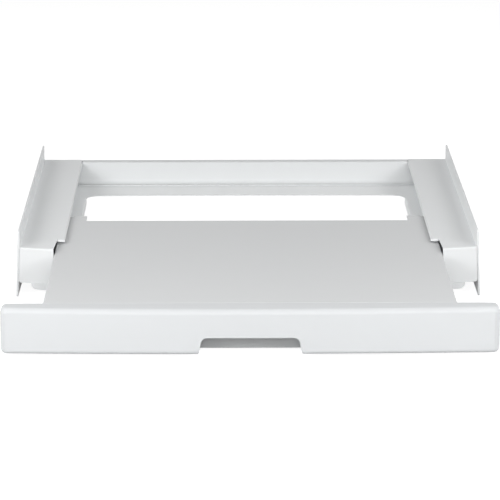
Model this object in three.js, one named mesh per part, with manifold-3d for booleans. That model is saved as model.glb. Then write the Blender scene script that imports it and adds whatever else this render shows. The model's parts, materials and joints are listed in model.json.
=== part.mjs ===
// Stacking kit that carries a tumble dryer on top of a washing machine: a folded steel frame with
// two side walls and a tray floor, and a shelf that slides out at the front.
// Millimetres, +Z up, the front towards -Y. The origin lies under the middle of the whole kit, on
// the surface that its feet stand on, with the shelf pulled out to its stop.
import * as THREE from "three";
import { mergeVertices } from "three/addons/utils/BufferGeometryUtils.js";
import Module from "manifold-3d";

const wasm = await Module();
wasm.setup();

// Sheet and fits
const sheet = 1.2; // thickness of every folded sheet
const bendRadius = 1; // inside a fold
const seam = 0.3; // between pieces that are fixed together, or that rest on one another
const runningGap = 0.7; // between the sliding shelf and its guides
const overrun = 2; // by which a cutting shape passes the faces that it cuts
const quarterSteps = 4; // flats round a quarter turn of a fold or corner

// Frame over all
const frameWidth = 600; // over the lower edges of the skirts
const frameDepth = 540;
const plateHeight = 67; // upper face of the support plates
const wallRise = 22; // side walls above the plates
const skirtLean = 3.1; // a wall's lower edge stands outward of its upper edge
const wallTopThickness = 2.4; // folded-over upper edge of a side wall
const wallTopEase = 1.1; // radius of that edge
const skirtThickness = 2.6;
const skirtEase = 1.2; // radius along the lower edge
const skirtGround = 1; // lower edge of the skirts above the surface
const wallCornerRadius = 4; // ends of the walls, seen from the side

// Support plates
const plateReach = 56; // from the side wall to the plate's inner edge
const plateLip = 3.2; // lip along the inner edge, below the upper face
const jogSetback = 43; // from the frame's front to the wide part of the plate
const jogReach = 46; // width of the plate just ahead of the jog
const frontReach = 44; // width of the plate at its front edge
const frontSlant = 9; // by which the front edge stands further ahead at its inner end
const frontFlangeGround = 20.5; // lower edge of the front flange above the surface
const frontBendRadius = 1.4;
const flangeCornerRadius = 3;

// Caps pushed up over the lower edges of the front flanges, at their inner ends
const capWidth = 29;
const capEndInset = 1; // from the flange's inner end
const capWall = 1.6;
const capDrop = 8; // below the flange's lower edge
const capRise = 6.5; // front leaf above the flange's lower edge
const capRearRise = 5;
const capCornerRadius = 8; // lower corners, seen from the front
const capEase = 1.5; // upper corners

// Rear crossmember
const rimDepth = 18; // level rim between the rear wall of the tray and the apron
const rearWallLean = 5;
const rearWallBend = 6; // between the rear wall and its foot
const rearFootSetback = 36; // from the frame's rear to the front edge of the foot
const rimBend = 1.4;
const rimFrontBend = 1.4;
const apronGround = 12; // lower edge of the apron above the surface

// Tray floor
const floorDrop = 32; // floor below the upper face of the plates
const openingRearMargin = 97.5;
const openingFrontMargin = 90;
const openingCornerRadius = 18;
const openingFlangeDepth = 26; // folded down along each side of the opening
const floorBend = 1.6;
const floorFrontSetback = 2.5;
const floorRearSetback = 3.4;
const floorEdgeFlange = 20; // folded up along the skirts and the apron
const floorFrontFlange = 11; // folded down behind the front flanges
const skirtClearance = 0.4; // between the floor's side edges and the skirts

// Front crossmember, an inverted channel under the floor
const crossmemberSetback = 4.2;
const crossmemberWidth = 30;
const crossmemberDepth = 12.5;
const crossmemberEndGap = 2;

// Channels between floor and plates
const supportInset = 2.5; // web of the channel, outward of the front flange's inner end
const supportFlange = 27;
const supportFrontSetback = 4.5;
const supportRearGap = 3; // ahead of the rear crossmember's foot

// Guides
const guideLength = 200;
const guideWidth = 17.1;
const guideSetback = 3; // behind the frame's front
const guideBase = 3.2; // thickness of the base on the floor
const guideWeb = 5;
const guideHeadInset = 0.7; // from the shelf's folded side to the guide's head
const guideOpeningMargin = 2.5; // from the side of the floor's opening to the guide
const guideEase = 1.5; // radius of the guide's edges

// Feet
const footReach = 8.5; // centre of a foot, outward of the plate support's web
const footSetback = 78; // centre of a foot, from the frame's front and rear
const footRadius = 20;
const footTopRadius = 17;
const footWaistRadius = 13;
const footFlangeHeight = 10;
const footEdgeRadius = 3;
const footTopHeight = 6;
const footGround = 0.9; // body of the foot above the surface
const padRadius = 16;
const padRecess = 2.4; // depth of the pad's seat in the foot
const padEdge = 0.6;
const footBore = 5.6;
const footBoreFloor = 8.2; // bottom of the bore, above the pad's seat
const footSides = 28; // flats round a foot and its pad

// Screws
const footScrewDiameter = 5;
const footScrewTipGap = 7.3; // from the bottom of the bore to the screw's tip
const smallScrewDiameter = 3.6;
const smallScrewLength = 9;
const screwClearance = 0.9; // hole over screw
const headRatioShare = 2; // head diameter, as a share of the screw's
const headHeightShare = 0.6;
const headSideShare = 0.45; // straight side of the head, of its height
const headShoulderShare = 0.7; // radius of the head's flat top, of the head's
const driveShare = 0.45; // hexagonal drive recess
const driveDepthShare = 0.55; // of the head's height
const screwSides = 12;
const hexagonSides = 6;
const guideScrewSpacing = 80;
const guideScrewEndInset = 18; // rear screw of each guide, ahead of the guide's rear end
const guideScrewInset = 5; // from the guide's outer edge

// Shelf
const shelfSideGap = 1; // between the shelf and the inner ends of the front flanges
const shelfDrop = 6; // shelf below the upper face of the plates
const shelfLength = 433; // from the panel's rear plane to the shelf's rear edge
const shelfEdgeRise = 9.8; // lower face of the folded edges, above the floor
const shelfEdgeLip = 12; // folded inward under each side
const shelfFrontSetback = 3; // folded sides start behind the front fold
const tabLength = 28;
const tabInnerInset = 33; // tab's inner edge, from the shelf's side
const tabOuterInset = 15.5;
const tabShoulderInset = 9.5;
const tabShoulderSetback = 7.5; // shoulder of the tab, behind the shelf's rear edge
const tabRootSetback = 8; // start of the slanted corner, ahead of the shelf's rear edge
const tabEarDepth = 12;
const rearFlangeDepth = 10;
const rearFlangeInset = 6; // from the tabs
const frontFoldRadius = 0.8;
const frontFoldReturn = 8; // folded back along the lower edge
const shelfEarInset = 1.5;

// Stiffeners under the shelf
const stiffenerWidth = 46;
const stiffenerCrown = 24;
const stiffenerDepth = 13.5;
const stiffenerFlare = 3; // lean of each side wall
const stiffenerInset = 3; // inward of the opening's sides
const stiffenerPlaces = [110, 300]; // middle of each, behind the panel's rear plane

// Front panel
const panelEndInset = 0.5; // panel's end, inward of the skirt's lower edge
const panelGround = 6.5; // lower edge above the surface
const panelEndDepth = 23.5;
const panelBow = 10; // by which the middle stands ahead of the ends
const panelEdgeRadius = 5;
const panelCornerRadius = 9;
const panelWall = 2.5;
const panelRib = 1.8;
const panelRibGap = 1; // between ribs and the shelf's front fold
const panelRibPitch = 41;
const panelRibFirst = 82; // first rib on each side of the middle; the notch has none behind it
const notchWidth = 120;
const notchMouthWidth = 125;
const notchHeight = 20;
const notchCornerRadius = 8.5;
const notchMouthRadius = 3;
const notchFlareHeight = 8;
const notchSurround = 2.2; // wall round the notch
const bowSteps = 24; // flats along the bowed front
const edgeSteps = 3; // flats round the panel's long edges
const bossRadius = 4.5;
const bossUpperDrop = 12.5; // upper screw bosses, below the shelf's upper face
const bossLowerHeight = 13; // lower ones, above the panel's lower edge
const bossNotchMargin = 42.5; // inner bosses, from the side of the notch
const bossEdgeInset = 24; // outer bosses, from the shelf's side
const bossBoreDepth = 10;

// Buffers behind the ends of the panel
const bumperInset = 24.5; // from the panel's end
const bumperDrop = 16.5; // below the shelf's upper face
const bumperRadius = 6;
const bumperLength = 6;
const bumperTipRadius = 3.5;
const bumperBossRadius = 7;

// Worked out from the sizes above
const bayHalf = frameWidth / 2 - skirtLean - wallTopThickness; // the dryer stands between the walls
const wallTop = plateHeight + wallRise;
const plateUnderside = plateHeight - sheet;
const plateLipBottom = plateHeight - plateLip;
const floorTop = plateHeight - floorDrop;
const floorUnderside = floorTop - sheet;
const floorEdgeTop = floorTop + floorEdgeFlange;
const openingFront = openingFrontMargin;
const openingRear = frameDepth - openingRearMargin;
const frontInnerX = bayHalf - frontReach;
const rearFootFront = frameDepth - rearFootSetback;
const shelfHalf = frontInnerX - shelfSideGap;
const shelfTop = plateHeight - shelfDrop;
const shelfUnderside = shelfTop - sheet;
const shelfSideBottom = floorTop + shelfEdgeRise;
const panelHalf = frameWidth / 2 - panelEndInset;
const panelHeight = shelfTop - panelGround;
const panelFront = panelEndDepth + panelBow;
const floorEdgeX = skirtInner(floorEdgeTop) - skirtClearance - sheet;
const guideOuterX = shelfHalf - sheet - guideHeadInset;
const guideInnerX = guideOuterX - guideWidth;
const guideRear = guideSetback + guideLength;
const guideScrewX = guideOuterX - guideScrewInset;
const guideScrewY = guideRear - guideScrewEndInset;
const guideScrewYs = [guideScrewY - guideScrewSpacing, guideScrewY];
const openingHalf = guideInnerX - guideOpeningMargin;
const supportWebX = frontInnerX + supportInset;
const footX = supportWebX + footReach;
const footYs = [footSetback, frameDepth - footSetback];
const footScrewSeat = floorTop + seam + sheet + seam;
const footBoreBottom = footGround + padRecess + footBoreFloor;
const tabInnerX = shelfHalf - tabInnerInset;
const tabOuterX = shelfHalf - tabOuterInset;
const bumperX = panelHalf - bumperInset;
const bumperZ = shelfTop - bumperDrop;
const bossInnerX = notchWidth / 2 + bossNotchMargin;
const bossOuterX = shelfHalf - bossEdgeInset;
const panelScrewPlaces = [
  [bossInnerX, shelfTop - bossUpperDrop],
  [bossOuterX, shelfTop - bossUpperDrop],
  [(bossInnerX + bossOuterX) / 2, panelGround + bossLowerHeight],
].flatMap(([x, z]) => [[-x, z], [x, z]]);

// The shelf comes out until the ears of its tabs stand behind the guides.
const extension = shelfLength + tabLength - sheet - seam - guideRear;
const overallDepth = frameDepth + extension + panelFront;

// Radius of the hole that a screw passes through.
function holeRadius(screwDiameter) {
  return (screwDiameter + screwClearance) / 2;
}

// X of a skirt's outer face at a height: the wall leans outward from its top to its lower edge.
function skirtOuter(height) {
  const topX = bayHalf + wallTopThickness;
  const down = (wallTop - height) / (wallTop - skirtGround);
  return topX + skirtLean * down;
}

// X of a skirt's inner face at a height.
function skirtInner(height) {
  return skirtOuter(height) - skirtThickness;
}

// The points of an arc round a corner of an outline.
function cornerArc(before, corner, after, radius) {
  const toBefore = before.clone().sub(corner).normalize();
  const toAfter = after.clone().sub(corner).normalize();
  const half = Math.acos(THREE.MathUtils.clamp(toBefore.dot(toAfter), -1, 1)) / 2;
  const middle = toBefore.clone().add(toAfter).normalize();
  const centre = middle.multiplyScalar(radius / Math.sin(half)).add(corner);
  const run = radius / Math.tan(half);
  const start = toBefore.clone().multiplyScalar(run).add(corner).sub(centre);
  const end = toAfter.clone().multiplyScalar(run).add(corner).sub(centre);
  const clockwise = toBefore.cross(toAfter) > 0;
  const turn = Math.PI - 2 * half;
  const steps = Math.max(1, Math.round((turn / (Math.PI / 2)) * quarterSteps));
  const arc = new THREE.EllipseCurve(
    centre.x, centre.y, radius, radius, start.angle(), end.angle(), clockwise,
  );
  return arc.getPoints(steps);
}

// An outline from corners [x, y, radius]; a corner without a radius stays sharp.
function roundedShape(corners) {
  const places = corners.map(([x, y]) => new THREE.Vector2(x, y));
  const points = corners.flatMap((corner, i) => {
    const radius = corner[2] ?? 0;
    if (radius === 0) return [places[i]];
    const before = places[(i + places.length - 1) % places.length];
    const after = places[(i + 1) % places.length];
    return cornerArc(before, places[i], after, radius);
  });
  return new THREE.Shape(points);
}

// A rectangle from one corner to the other, with rounded corners where a radius is given.
function rectangle(left, low, right, high, radius = 0) {
  return roundedShape([
    [left, low, radius],
    [right, low, radius],
    [right, high, radius],
    [left, high, radius],
  ]);
}

function circle(x, y, radius) {
  const round = new THREE.EllipseCurve(x, y, radius, radius, 0, 2 * Math.PI);
  return new THREE.Shape(round.getPoints(4 * quarterSteps).slice(1));
}

// The section of a folded sheet. The line runs along one face, the sheet lies on its left, and
// each corner of the line may give its own radius inside the fold.
function foldedShape(line) {
  const places = line.map(([x, y]) => new THREE.Vector2(x, y));
  const lefts = places.slice(1).map((place, i) => {
    const along = place.clone().sub(places[i]).normalize();
    return new THREE.Vector2(-along.y, along.x);
  });
  const face = [];
  const back = [];
  places.forEach((place, i) => {
    const first = lefts[Math.max(i - 1, 0)];
    const second = lefts[Math.min(i, lefts.length - 1)];
    const isEnd = i === 0 || i === places.length - 1;
    const reach = sheet / (1 + first.dot(second));
    const offset = first.clone().add(second).multiplyScalar(reach).add(place);
    const inside = isEnd ? 0 : line[i][2] ?? bendRadius;
    const outside = isEnd ? 0 : inside + sheet;
    const turnsLeft = first.cross(second) > 0;
    face.push([place.x, place.y, turnsLeft ? outside : inside]);
    back.unshift([offset.x, offset.y, turnsLeft ? inside : outside]);
  });
  return roundedShape([...face, ...back]);
}

// An outline drawn in X and Y, standing from one height to another.
function upright(shape, low, high) {
  const block = new THREE.ExtrudeGeometry(shape, { depth: high - low, bevelEnabled: false });
  return block.translate(0, 0, low);
}

// An outline drawn in Y and Z, running across the kit.
function crosswise(shape, left, right) {
  const block = new THREE.ExtrudeGeometry(shape, { depth: right - left, bevelEnabled: false });
  const acrossAxes = new THREE.Matrix4().set(0, 0, 1, left, 1, 0, 0, 0, 0, 1, 0, 0, 0, 0, 0, 1);
  return block.applyMatrix4(acrossAxes);
}

// An outline drawn in X and Z, running from front to rear.
function lengthwise(shape, front, rear) {
  const block = new THREE.ExtrudeGeometry(shape, { depth: rear - front, bevelEnabled: false });
  const alongAxes = new THREE.Matrix4().set(1, 0, 0, 0, 0, 0, -1, rear, 0, 1, 0, 0, 0, 0, 0, 1);
  return block.applyMatrix4(alongAxes);
}

// A profile of [radius, height] points turned about the vertical.
function turned(profile, sides) {
  const points = profile.map(([radius, height]) => new THREE.Vector2(radius, height));
  const round = new THREE.LatheGeometry(points, sides);
  return round.rotateX(Math.PI / 2);
}

// A closed geometry as a solid that can be joined and cut.
function solid(geometry) {
  const shared = welded(geometry);
  return new wasm.Manifold(
    new wasm.Mesh({
      numProp: 3,
      vertProperties: shared.getAttribute("position").array,
      triVerts: new Uint32Array(shared.index.array),
    }),
  );
}

function join(...geometries) {
  return geometries.map(solid).reduce((all, next) => all.add(next));
}

function cut(body, ...geometries) {
  return geometries.map(solid).reduce((left, tool) => left.subtract(tool), body);
}

// A geometry with shared corners and nothing but their places.
function welded(geometry) {
  const bare = geometry.clone();
  bare.deleteAttribute("normal");
  bare.deleteAttribute("uv");
  return mergeVertices(bare);
}

// The same geometry on the other side of the kit, with its faces still outward.
function mirrored(geometry) {
  const other = welded(geometry).applyMatrix4(new THREE.Matrix4().makeScale(-1, 1, 1));
  other.index.array.reverse();
  return other;
}

// A solid as a geometry with flat faces.
function surface(body) {
  const mesh = body.getMesh();
  const shared = new THREE.BufferGeometry();
  shared.setAttribute("position", new THREE.BufferAttribute(mesh.vertProperties, 3));
  shared.setIndex(new THREE.BufferAttribute(mesh.triVerts, 1));
  const flat = shared.toNonIndexed();
  flat.computeVertexNormals();
  return flat;
}

// Finishes
function whiteEnamel() {
  return new THREE.MeshStandardMaterial({ color: 0xe4e7e9, roughness: 0.42, metalness: 0 });
}

function whitePlastic() {
  return new THREE.MeshStandardMaterial({ color: 0xe8eaec, roughness: 0.35, metalness: 0 });
}

function paleNylon() {
  return new THREE.MeshStandardMaterial({ color: 0xd6d8d8, roughness: 0.5, metalness: 0 });
}

function greyRubber() {
  return new THREE.MeshStandardMaterial({ color: 0x9a9d9f, roughness: 0.85, metalness: 0 });
}

function zincPlate() {
  return new THREE.MeshStandardMaterial({ color: 0xb9bcc0, roughness: 0.35, metalness: 0.9 });
}

function addPiece(group, name, geometry, finish) {
  const piece = new THREE.Mesh(geometry, finish);
  piece.name = name;
  group.add(piece);
  return piece;
}

// Right side rail: wall and skirt with the plate, its lip, and the front flange folded from it.
function sideRail() {
  const plateInnerX = bayHalf - plateReach;
  const jogX = bayHalf - jogReach;
  const flangeBottom = frontFlangeGround;
  const section = roundedShape([
    [skirtOuter(skirtGround), skirtGround, skirtEase],
    [skirtOuter(wallTop), wallTop, wallTopEase],
    [bayHalf, wallTop, wallTopEase],
    [bayHalf, plateHeight, bendRadius],
    [plateInnerX, plateHeight, bendRadius + sheet],
    [plateInnerX, plateLipBottom],
    [plateInnerX + sheet, plateLipBottom],
    [plateInnerX + sheet, plateUnderside, bendRadius],
    [skirtInner(plateUnderside), plateUnderside],
    [skirtInner(skirtGround), skirtGround, skirtEase],
  ]);
  const whole = solid(lengthwise(section, -frontSlant - overrun, frameDepth));

  // The wall and skirt end square at the frame's front and rear, with rounded corners.
  const wallSide = rectangle(0, skirtGround, frameDepth, wallTop, wallCornerRadius);
  const wallBlock = crosswise(wallSide, bayHalf - bendRadius, frameWidth / 2 + overrun);
  const wall = whole.intersect(solid(wallBlock));

  // The plate seen from above. Its front edge is left to the flange's bend.
  const bendSetback = frontBendRadius + sheet + overrun;
  const platePlan = roundedShape([
    [bayHalf + sheet, bendSetback],
    [bayHalf + sheet, frameDepth],
    [plateInnerX - overrun, frameDepth],
    [plateInnerX - overrun, jogSetback],
    [jogX, jogSetback],
    [frontInnerX, bendSetback - frontSlant],
  ]);
  const plateBlock = upright(platePlan, plateLipBottom - overrun, plateHeight + overrun);
  const plate = whole.intersect(solid(plateBlock));
  const jogFace = rectangle(jogSetback, plateLipBottom, jogSetback + sheet, plateHeight - sheet / 2);
  const jogLip = crosswise(jogFace, plateInnerX + sheet / 2, jogX);

  // The flange follows the slanted front edge and stops against the skirt.
  const flangeSection = foldedShape([
    [bendSetback + overrun, plateHeight],
    [0, plateHeight, frontBendRadius],
    [0, flangeBottom],
  ]);
  const flangeRun = frontReach + frontSlant;
  const flange = crosswise(flangeSection, -flangeRun, flangeRun);
  flange.applyMatrix4(new THREE.Matrix4().makeRotationZ(Math.atan2(frontSlant, frontReach)));
  flange.translate(bayHalf, 0, 0);
  const flangeFace = roundedShape([
    [frontInnerX, flangeBottom, flangeCornerRadius],
    [skirtInner(flangeBottom) - skirtClearance, flangeBottom, flangeCornerRadius],
    [skirtInner(plateUnderside) - skirtClearance, plateUnderside],
    [bayHalf + sheet / 2, plateUnderside],
    [bayHalf + sheet / 2, plateHeight + overrun],
    [frontInnerX, plateHeight + overrun],
  ]);
  const flangeBlock = lengthwise(flangeFace, -frontSlant - overrun, jogSetback);
  const trimmed = solid(flange).intersect(solid(flangeBlock));
  return surface(wall.add(plate).add(solid(jogLip)).add(trimmed));
}

// Right flange cap: a front and a rear leaf with the flange's lower edge between them.
function flangeCap() {
  const low = frontFlangeGround - capDrop;
  const slotLow = frontFlangeGround - seam;
  const slotRear = sheet + seam;
  const frontHigh = frontFlangeGround + capRise;
  const rearHigh = frontFlangeGround + capRearRise;
  const section = roundedShape([
    [-seam - capWall, low],
    [slotRear + capWall, low],
    [slotRear + capWall, rearHigh],
    [slotRear, rearHigh],
    [slotRear, slotLow],
    [-seam, slotLow],
    [-seam, frontHigh],
    [-seam - capWall, frontHigh, capWall / 2],
  ]);
  const inner = capEndInset - Math.hypot(frontReach, frontSlant);
  const outer = inner + capWidth;
  const face = roundedShape([
    [inner, low, capCornerRadius],
    [outer, low, capCornerRadius],
    [outer, frontHigh, capEase],
    [inner, frontHigh, capEase],
  ]);
  const reach = capWall + seam + overrun;
  const block = solid(lengthwise(face, -reach, sheet + reach));
  const cap = surface(solid(crosswise(section, inner, outer)).intersect(block));
  return cap.rotateZ(Math.atan2(frontSlant, frontReach)).translate(bayHalf, 0, 0);
}

// Rear crossmember: foot on the floor, rear wall of the tray, rim and apron, in one folded sheet.
function rearCrossmember() {
  const rimFront = frameDepth - rimDepth;
  const footTop = floorTop + seam + sheet;
  const halfLength = floorEdgeX - skirtClearance;
  const section = foldedShape([
    [frameDepth, apronGround],
    [frameDepth, plateHeight, rimBend],
    [rimFront, plateHeight, rimFrontBend],
    [rimFront - rearWallLean, footTop, rearWallBend],
    [rearFootFront, footTop],
  ]);
  // Beside the rim the plates take its place, and the two upright walls end below the plates' lips.
  const rimHalf = bayHalf - plateReach - seam;
  const cleared = rectangle(
    rimFront - rearWallLean - overrun,
    plateLipBottom - seam,
    frameDepth + overrun,
    plateHeight + overrun,
  );
  return surface(cut(
    join(crosswise(section, -halfLength, halfLength)),
    crosswise(cleared, rimHalf, halfLength + overrun),
    crosswise(cleared, -halfLength - overrun, -rimHalf),
  ));
}

// Tray floor with its opening, folded up at the sides and rear and down at the front.
function basePan() {
  const sideX = skirtInner(floorUnderside) - skirtClearance - sheet;
  const rear = frameDepth - floorRearSetback;
  const acrossSection = foldedShape([
    [floorEdgeX, floorEdgeTop],
    [sideX, floorTop],
    [-sideX, floorTop],
    [-floorEdgeX, floorEdgeTop],
  ]);
  const alongSection = foldedShape([
    [rear, floorEdgeTop],
    [rear, floorTop],
    [floorFrontSetback, floorTop],
    [floorFrontSetback, floorTop - floorFrontFlange],
  ]);
  const corner = bendRadius + sheet;
  const body = join(
    lengthwise(acrossSection, floorFrontSetback + corner, rear - corner),
    crosswise(alongSection, corner - sideX, sideX - corner),
  );

  // Each side of the opening is folded down between the rounded corners.
  const flangeFront = openingFront + openingCornerRadius;
  const flangeRear = openingRear - openingCornerRadius;
  const foldX = openingHalf + floorBend + sheet;
  const flangeSection = foldedShape([
    [foldX + overrun, floorTop],
    [openingHalf, floorTop, floorBend],
    [openingHalf, floorTop - openingFlangeDepth],
  ]);
  const flange = lengthwise(flangeSection, flangeFront, flangeRear);
  const foldPlan = rectangle(openingHalf - overrun, flangeFront, foldX, flangeRear);
  const openingPlan = rectangle(
    -openingHalf, openingFront, openingHalf, openingRear, openingCornerRadius,
  );
  const plans = [openingPlan];
  for (const hand of [1, -1]) {
    footYs.forEach((y) => plans.push(circle(hand * footX, y, holeRadius(footScrewDiameter))));
    guideScrewYs.forEach((y) => {
      plans.push(circle(hand * guideScrewX, y, holeRadius(smallScrewDiameter)));
    });
  }
  const low = floorUnderside - overrun;
  const high = floorTop + overrun;
  const fold = upright(foldPlan, low, high);
  const cuts = plans.map((plan) => upright(plan, low, high));
  const floor = cut(body, ...cuts, fold, mirrored(fold));
  return surface(floor.add(solid(flange)).add(solid(mirrored(flange))));
}

// Front crossmember: an inverted channel under the front of the floor.
function frontCrossmember() {
  const front = crossmemberSetback;
  const rear = front + crossmemberWidth;
  const top = floorUnderside - seam;
  const section = foldedShape([
    [rear, top - crossmemberDepth],
    [rear, top],
    [front, top],
    [front, top - crossmemberDepth],
  ]);
  const halfLength = skirtInner(floorUnderside) - skirtClearance - sheet - crossmemberEndGap;
  return crosswise(section, -halfLength, halfLength);
}

// Right plate support: a channel between the floor and the plate, open outward.
function plateSupport() {
  const low = floorTop + seam;
  const high = plateUnderside - seam;
  const section = foldedShape([
    [supportWebX + supportFlange, high],
    [supportWebX, high],
    [supportWebX, low],
    [supportWebX + supportFlange, low],
  ]);
  const channel = join(
    lengthwise(section, supportFrontSetback, rearFootFront - supportRearGap),
  );
  const holes = footYs.map((y) => upright(
    circle(footX, y, holeRadius(footScrewDiameter)), low - overrun, low + sheet + overrun,
  ));
  return surface(cut(channel, ...holes));
}

// Right guide: base, web and head, with the slot between base and head open outward for the
// folded edge of the shelf.
function shelfGuide() {
  const low = floorTop + seam;
  const baseTop = low + guideBase;
  const headBottom = shelfSideBottom + sheet + runningGap;
  const headTop = shelfUnderside - seam;
  const section = roundedShape([
    [guideInnerX, low],
    [guideOuterX, low],
    [guideOuterX, baseTop, guideEase],
    [guideInnerX + guideWeb, baseTop, guideEase],
    [guideInnerX + guideWeb, headBottom, guideEase],
    [guideOuterX, headBottom, guideEase],
    [guideOuterX, headTop, guideEase],
    [guideInnerX, headTop, guideEase],
  ]);
  const body = join(lengthwise(section, guideSetback, guideSetback + guideLength));
  const holes = guideScrewYs.map((y) => upright(
    circle(guideScrewX, y, holeRadius(smallScrewDiameter)), low - overrun, baseTop + overrun,
  ));
  return surface(cut(body, ...holes));
}

// Foot: a turned moulding with a broad lower flange, a waist and a seat for its pad.
function foot() {
  const top = floorUnderside - seam;
  const edge = new THREE.EllipseCurve(
    footRadius - footEdgeRadius, footGround + footEdgeRadius,
    footEdgeRadius, footEdgeRadius, -Math.PI / 2, 0,
  );
  const seatTop = footGround + padRecess;
  const seatRadius = padRadius + seam;
  return turned([
    [0, seatTop],
    [seatRadius, seatTop],
    [seatRadius, footGround],
    ...edge.getPoints(edgeSteps).map((point) => [point.x, point.y]),
    [footRadius, footFlangeHeight],
    [footWaistRadius, footFlangeHeight + footEdgeRadius],
    [footWaistRadius, top - footTopHeight],
    [footTopRadius, top - footTopHeight + footEdgeRadius],
    [footTopRadius, top],
    [footBore / 2, top],
    [footBore / 2, footBoreBottom],
    [0, footBoreBottom],
  ], footSides);
}

// Rubber pad in the foot's seat. It is the lowest piece of the kit.
function footPad() {
  const top = footGround + padRecess - seam;
  return turned([
    [0, 0],
    [padRadius - padEdge, 0],
    [padRadius, padEdge],
    [padRadius, top],
    [0, top],
  ], footSides);
}

// Pan-headed screw pointing down, with its origin under the head.
function screw(diameter, length) {
  const radius = diameter / 2;
  const headRadius = radius * headRatioShare;
  const headHeight = diameter * headHeightShare;
  const body = turned([
    [0, -length],
    [radius / 2, -length],
    [radius, -length + radius / 2],
    [radius, 0],
    [headRadius, 0],
    [headRadius, headHeight * headSideShare],
    [headRadius * headShoulderShare, headHeight],
    [0, headHeight],
  ], screwSides);
  const driveDepth = headHeight * driveDepthShare;
  const drive = new THREE.CylinderGeometry(
    headRadius * driveShare, headRadius * driveShare, 2 * driveDepth, hexagonSides,
  );
  drive.rotateX(Math.PI / 2);
  drive.translate(0, 0, headHeight);
  return surface(cut(join(body), drive));
}

// Shelf sheet: inward-folded sides, tabs with ears at the rear, and the fold behind the panel.
function shelfPlate() {
  const frontY = seam;
  const flatHalf = shelfHalf - bendRadius - sheet;
  const rearY = shelfLength;
  const tabRearY = rearY + tabLength;
  const foldRun = bendRadius + sheet;
  const overlap = foldRun + overrun;
  const sideSection = foldedShape([
    [shelfHalf - shelfEdgeLip, shelfSideBottom],
    [shelfHalf, shelfSideBottom],
    [shelfHalf, shelfTop],
    [-shelfHalf, shelfTop],
    [-shelfHalf, shelfSideBottom],
    [shelfEdgeLip - shelfHalf, shelfSideBottom],
  ]);
  const rightPlan = [
    [flatHalf, frontY + foldRun],
    [flatHalf, rearY - tabRootSetback],
    [shelfHalf - tabShoulderInset, rearY + tabShoulderSetback],
    [tabOuterX, tabRearY - foldRun],
    [tabInnerX, tabRearY - foldRun],
    [tabInnerX, rearY - foldRun],
  ];
  const leftPlan = rightPlan.map(([x, y]) => [-x, y]).reverse();
  const frontSection = foldedShape([
    [frontY + overlap, shelfTop],
    [frontY, shelfTop, frontFoldRadius],
    [frontY, panelGround],
    [frontY + frontFoldReturn, panelGround],
  ]);
  // A downward fold along an edge that faces the rear.
  const rearFold = (y, depth, left, right) => crosswise(foldedShape([
    [y, shelfTop - depth],
    [y, shelfTop],
    [y - overlap, shelfTop],
  ]), left, right);
  const ear = rearFold(tabRearY, tabEarDepth, tabInnerX + shelfEarInset, tabOuterX);
  const flangeHalf = tabInnerX - rearFlangeInset;
  const body = join(
    lengthwise(sideSection, shelfFrontSetback, rearY - tabRootSetback),
    upright(roundedShape([...rightPlan, ...leftPlan]), shelfUnderside, shelfTop),
    crosswise(frontSection, -shelfHalf, shelfHalf),
    rearFold(rearY, rearFlangeDepth, -flangeHalf, flangeHalf),
    ear,
    mirrored(ear),
  );
  const holes = panelScrewPlaces.map(([x, z]) => lengthwise(
    circle(x, z, holeRadius(smallScrewDiameter)), frontY - overrun, frontY + sheet + overrun,
  ));
  return surface(cut(body, ...holes));
}

// Hat section across the underside of the shelf.
function stiffener(middle) {
  const flangeLow = shelfUnderside - seam - sheet;
  const crownLow = flangeLow + sheet - stiffenerDepth;
  const footHalf = stiffenerCrown / 2 + stiffenerFlare;
  const section = foldedShape([
    [middle - stiffenerWidth / 2, flangeLow],
    [middle - footHalf, flangeLow],
    [middle - stiffenerCrown / 2, crownLow],
    [middle + stiffenerCrown / 2, crownLow],
    [middle + footHalf, flangeLow],
    [middle + stiffenerWidth / 2, flangeLow],
  ]);
  const halfLength = openingHalf - stiffenerInset;
  return crosswise(section, -halfLength, halfLength);
}

// The panel's block with its bowed front and rounded long edges, smaller all round by an inset.
function panelBlock(inset) {
  const half = panelHalf - inset;
  const bowRadius = (half * half + panelBow * panelBow) / (2 * panelBow);
  const frontMiddle = -(panelFront - inset);
  const bow = [];
  for (let step = 1; step < bowSteps; step += 1) {
    const x = -half + (2 * half * step) / bowSteps;
    const behind = bowRadius - Math.sqrt(bowRadius * bowRadius - x * x);
    bow.push([x, frontMiddle + behind]);
  }
  const edge = panelEdgeRadius - inset;
  const rearY = panelEdgeRadius + overrun;
  const endY = frontMiddle + panelBow;
  const plan = roundedShape([
    [-half, rearY],
    [-half, endY, panelCornerRadius - inset],
    ...bow,
    [half, endY, panelCornerRadius - inset],
    [half, rearY],
  ]);
  const block = new THREE.ExtrudeGeometry(plan, {
    depth: panelHeight - 2 * inset - 2 * edge,
    bevelThickness: edge,
    bevelSize: edge,
    bevelOffset: -edge,
    bevelSegments: edgeSteps,
  });
  return block.translate(0, 0, panelGround + inset + edge);
}

// The notch's outline from the front, larger all round by a margin.
function notchShape(margin) {
  const half = notchWidth / 2 + margin;
  const mouthHalf = notchMouthWidth / 2 + margin;
  const top = panelGround + notchHeight + margin;
  const rightSide = [
    [mouthHalf + notchMouthRadius + overrun, panelGround - overrun],
    [mouthHalf + notchMouthRadius + overrun, panelGround],
    [mouthHalf, panelGround, notchMouthRadius],
    [half, panelGround + notchFlareHeight],
    [half, top, notchCornerRadius + margin],
  ];
  const leftSide = rightSide.map(([x, z, radius]) => [-x, z, radius]).reverse();
  return roundedShape([...rightSide, ...leftSide]);
}

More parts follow.
